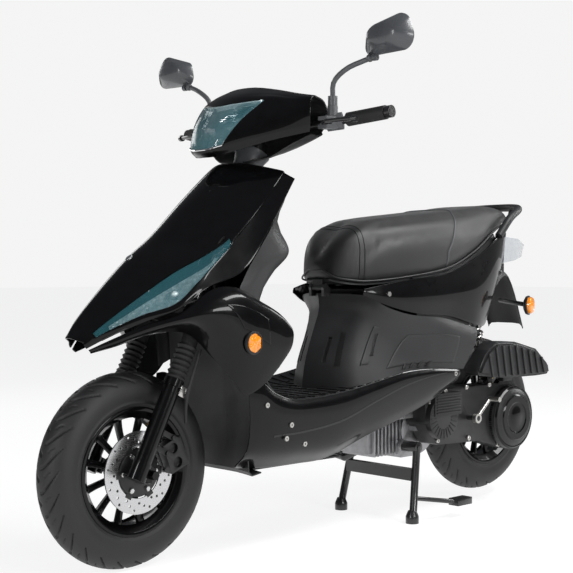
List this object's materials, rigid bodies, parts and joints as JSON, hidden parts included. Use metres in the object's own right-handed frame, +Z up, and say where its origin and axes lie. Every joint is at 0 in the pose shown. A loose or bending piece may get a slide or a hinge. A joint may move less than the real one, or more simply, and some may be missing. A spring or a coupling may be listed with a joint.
{
  "type": "moped scooter",
  "caption": "Step-through moped scooter on its centre stand, with alloy wheels, front disc brake, swinging engine unit and hinged seat.",
  "frame": {"origin": "on the ground, midway between the tyres' front and rear ends", "axes": "+X forwards, +Y to the rider's left, +Z up"},
  "size_m": [1.67, 0.888, 1.212],
  "materials": {
    "main_frame": "satin",
    "front_cover": "gloss",
    "side_fairings": "gloss",
    "turn_lenses": "clear tinted",
    "turn_reflectors": "mirror",
    "side_reflectors": "prismatic",
    "leg_shield": "matte",
    "floorboard": "textured",
    "side_skirts": "gloss",
    "arch_panel": "satin",
    "seat_body": "matte",
    "tail_sides": "gloss",
    "grab_rail": "satin",
    "tail_lamp": "clear",
    "rear_mudguard": "matte",
    "rear_signals": "gloss",
    "storage_bucket": "matte",
    "fuel_tank": "matte",
    "body_screws": "bright",
    "ignition_lock": "satin",
    "steering_stem": "satin",
    "handlebar": "satin",
    "headset_front": "gloss",
    "headset_rear": "satin",
    "headlight_lens": "clear tinted",
    "headlight_bowl": "mirror",
    "left_grip": "ribbed",
    "lever_perches": "cast",
    "throttle_grip": "ribbed",
    "left_lever": "satin",
    "right_lever": "satin",
    "left_mirror_arm": "satin",
    "left_mirror_head": "satin",
    "left_mirror_glass": "mirror",
    "right_mirror_arm": "satin",
    "right_mirror_head": "satin",
    "right_mirror_glass": "mirror",
    "horn_button": "satin",
    "turn_switch": "satin",
    "start_button": "gloss",
    "fork_sliders": "gloss",
    "brake_caliper": "cast",
    "fork_gaiters": "matte",
    "brake_hose": "satin",
    "front_tyre": "matte",
    "front_rim": "gloss",
    "brake_disc": "machined",
    "crankcase": "cast",
    "cvt_case": "satin",
    "air_filter": "satin",
    "muffler": "satin",
    "rear_tyre": "matte",
    "rear_rim": "gloss",
    "centre_stand": "satin",
    "kick_lever": "satin",
    "shock_body": "satin",
    "shock_rod": "mirror",
    "shock_spring": "satin",
    "seat_cushion": "grained vinyl",
    "seat_pan": "matte"
  },
  "bodies": {
    "chassis": {"main_frame": "main_frame", "front_cover": "front_cover", "side_fairings": "side_fairings", "turn_lenses": "turn_lenses", "turn_reflectors": "turn_reflectors", "side_reflectors": "side_reflectors", "leg_shield": "leg_shield", "floorboard": "floorboard", "side_skirts": "side_skirts", "arch_panel": "arch_panel", "seat_body": "seat_body", "tail_sides": "tail_sides", "grab_rail": "grab_rail", "tail_lamp": "tail_lamp", "rear_mudguard": "rear_mudguard", "rear_signals": "rear_signals", "storage_bucket": "storage_bucket", "fuel_tank": "fuel_tank", "body_screws": "body_screws"},
    "steering": {"steering_stem": "steering_stem", "handlebar": "handlebar", "headset_front": "headset_front", "headset_rear": "headset_rear", "headlight_lens": "headlight_lens", "headlight_bowl": "headlight_bowl", "left_grip": "left_grip", "lever_perches": "lever_perches", "fork_gaiters": "fork_gaiters"},
    "fork": {"fork_sliders": "fork_sliders", "brake_caliper": "brake_caliper", "brake_hose": "brake_hose"},
    "front_wheel": {"front_tyre": "front_tyre", "front_rim": "front_rim", "brake_disc": "brake_disc"},
    "engine": {"crankcase": "crankcase", "cvt_case": "cvt_case", "air_filter": "air_filter", "muffler": "muffler"},
    "rear_wheel": {"rear_tyre": "rear_tyre", "rear_rim": "rear_rim"},
    "stand": {"centre_stand": "centre_stand"},
    "kick": {"kick_lever": "kick_lever"},
    "shock_upper": {"shock_body": "shock_body", "shock_spring": "shock_spring"},
    "shock_lower": {"shock_rod": "shock_rod"},
    "seat": {"seat_cushion": "seat_cushion", "seat_pan": "seat_pan"},
    "throttle": {"throttle_grip": "throttle_grip"},
    "left_brake": {"left_lever": "left_lever"},
    "right_brake": {"right_lever": "right_lever"},
    "left_arm": {"left_mirror_arm": "left_mirror_arm"},
    "left_mirror": {"left_mirror_head": "left_mirror_head", "left_mirror_glass": "left_mirror_glass"},
    "right_arm": {"right_mirror_arm": "right_mirror_arm"},
    "right_mirror": {"right_mirror_head": "right_mirror_head", "right_mirror_glass": "right_mirror_glass"},
    "horn": {"horn_button": "horn_button"},
    "indicator": {"turn_switch": "turn_switch"},
    "starter": {"start_button": "start_button"},
    "ignition": {"ignition_lock": "ignition_lock"}
  },
  "joints": [
    {"name": "steering_turn", "type": "hinge", "parent": "chassis", "child": "steering", "pos_m": [0.607, 0, 0.215], "axis": [-0.454, 0, 0.891], "range_deg": [-38, 38]},
    {"name": "fork_travel", "type": "slide", "parent": "steering", "child": "fork", "axis": [-0.454, 0, 0.891], "range_m": [0, 0.045], "stiffness_N_per_m": 9000, "springref_m": -0.045, "deforming": ["fork_gaiters"]},
    {"name": "front_wheel_spin", "type": "hinge", "parent": "fork", "child": "front_wheel", "pos_m": [0.62, 0, 0.215], "axis": [0, 1, 0], "continuous": true},
    {"name": "engine_swing", "type": "hinge", "parent": "chassis", "child": "engine", "pos_m": [-0.15, 0, 0.3], "axis": [0, 1, 0], "range_deg": [0, 6], "stiffness_Nm_per_rad": 1500, "springref_deg": -2.86, "deforming": ["shock_spring"]},
    {"name": "rear_wheel_spin", "type": "hinge", "parent": "engine", "child": "rear_wheel", "pos_m": [-0.62, 0, 0.239], "axis": [0, 1, 0], "continuous": true},
    {"name": "stand_fold", "type": "hinge", "parent": "engine", "child": "stand", "pos_m": [-0.23, 0, 0.19], "axis": [0, 1, 0], "range_deg": [0, 50]},
    {"name": "kick_start", "type": "hinge", "parent": "engine", "child": "kick", "pos_m": [-0.43, 0.15, 0.252], "axis": [0, -1, 0], "range_deg": [0, 55], "stiffness_Nm_per_rad": 3, "springref_deg": -22.92},
    {"name": "shock_top_pivot", "type": "hinge", "parent": "chassis", "child": "shock_upper", "pos_m": [-0.49, 0.078, 0.56], "axis": [0, 1, 0], "range_deg": [0, 2.2]},
    {"name": "shock_foot_pivot", "type": "hinge", "parent": "engine", "child": "shock_lower", "pos_m": [-0.56, 0.078, 0.352], "axis": [0, 1, 0], "range_deg": [-4.2, 0]},
    {"name": "seat_tilt", "type": "hinge", "parent": "chassis", "child": "seat", "pos_m": [0.018, 0, 0.606], "axis": [0, 1, 0], "range_deg": [0, 60]},
    {"name": "throttle_twist", "type": "hinge", "parent": "steering", "child": "throttle", "pos_m": [0.16456, -0.24112, 0.9948], "axis": [-0.1554, -0.9841, 0.0863], "range_deg": [0, 70], "stiffness_Nm_per_rad": 0.3, "springref_deg": -17.19},
    {"name": "left_brake_pull", "type": "hinge", "parent": "steering", "child": "left_brake", "pos_m": [0.214, 0.214, 0.986], "axis": [0, 0, 1], "range_deg": [0, 15], "stiffness_Nm_per_rad": 4, "springref_deg": -5.73},
    {"name": "right_brake_pull", "type": "hinge", "parent": "steering", "child": "right_brake", "pos_m": [0.214, -0.214, 0.986], "axis": [0, 0, -1], "range_deg": [0, 15], "stiffness_Nm_per_rad": 4, "springref_deg": -5.73},
    {"name": "left_mirror_swivel", "type": "hinge", "parent": "steering", "child": "left_arm", "pos_m": [0.186, 0.212, 1.03], "axis": [0, 0, 1], "range_deg": [-25, 25]},
    {"name": "left_mirror_tilt", "type": "hinge", "parent": "left_arm", "child": "left_mirror", "pos_m": [0.176, 0.318, 1.124], "axis": [0, 1, 0], "range_deg": [-8, 8]},
    {"name": "right_mirror_swivel", "type": "hinge", "parent": "steering", "child": "right_arm", "pos_m": [0.186, -0.212, 1.03], "axis": [0, 0, 1], "range_deg": [-25, 25]},
    {"name": "right_mirror_tilt", "type": "hinge", "parent": "right_arm", "child": "right_mirror", "pos_m": [0.176, -0.318, 1.124], "axis": [0, 1, 0], "range_deg": [-8, 8]},
    {"name": "horn_push", "type": "slide", "parent": "steering", "child": "horn", "axis": [1, 0, 0], "range_m": [0, 0.003], "stiffness_N_per_m": 600, "springref_m": -0.001},
    {"name": "indicator_slide", "type": "slide", "parent": "steering", "child": "indicator", "axis": [0, 1, 0], "range_m": [-0.004, 0.004]},
    {"name": "starter_push", "type": "slide", "parent": "steering", "child": "starter", "axis": [1, 0, 0], "range_m": [0, 0.003], "stiffness_N_per_m": 600, "springref_m": -0.001},
    {"name": "ignition_turn", "type": "hinge", "parent": "chassis", "child": "ignition", "pos_m": [0.218, -0.052, 0.8], "axis": [1, 0, 0], "range_deg": [0, 90]}
  ],
  "couplings": [
    {"joint": "shock_top_pivot", "follows": "engine_swing", "ratio": 0.345},
    {"joint": "shock_foot_pivot", "follows": "engine_swing", "ratio": -0.655}
  ]
}
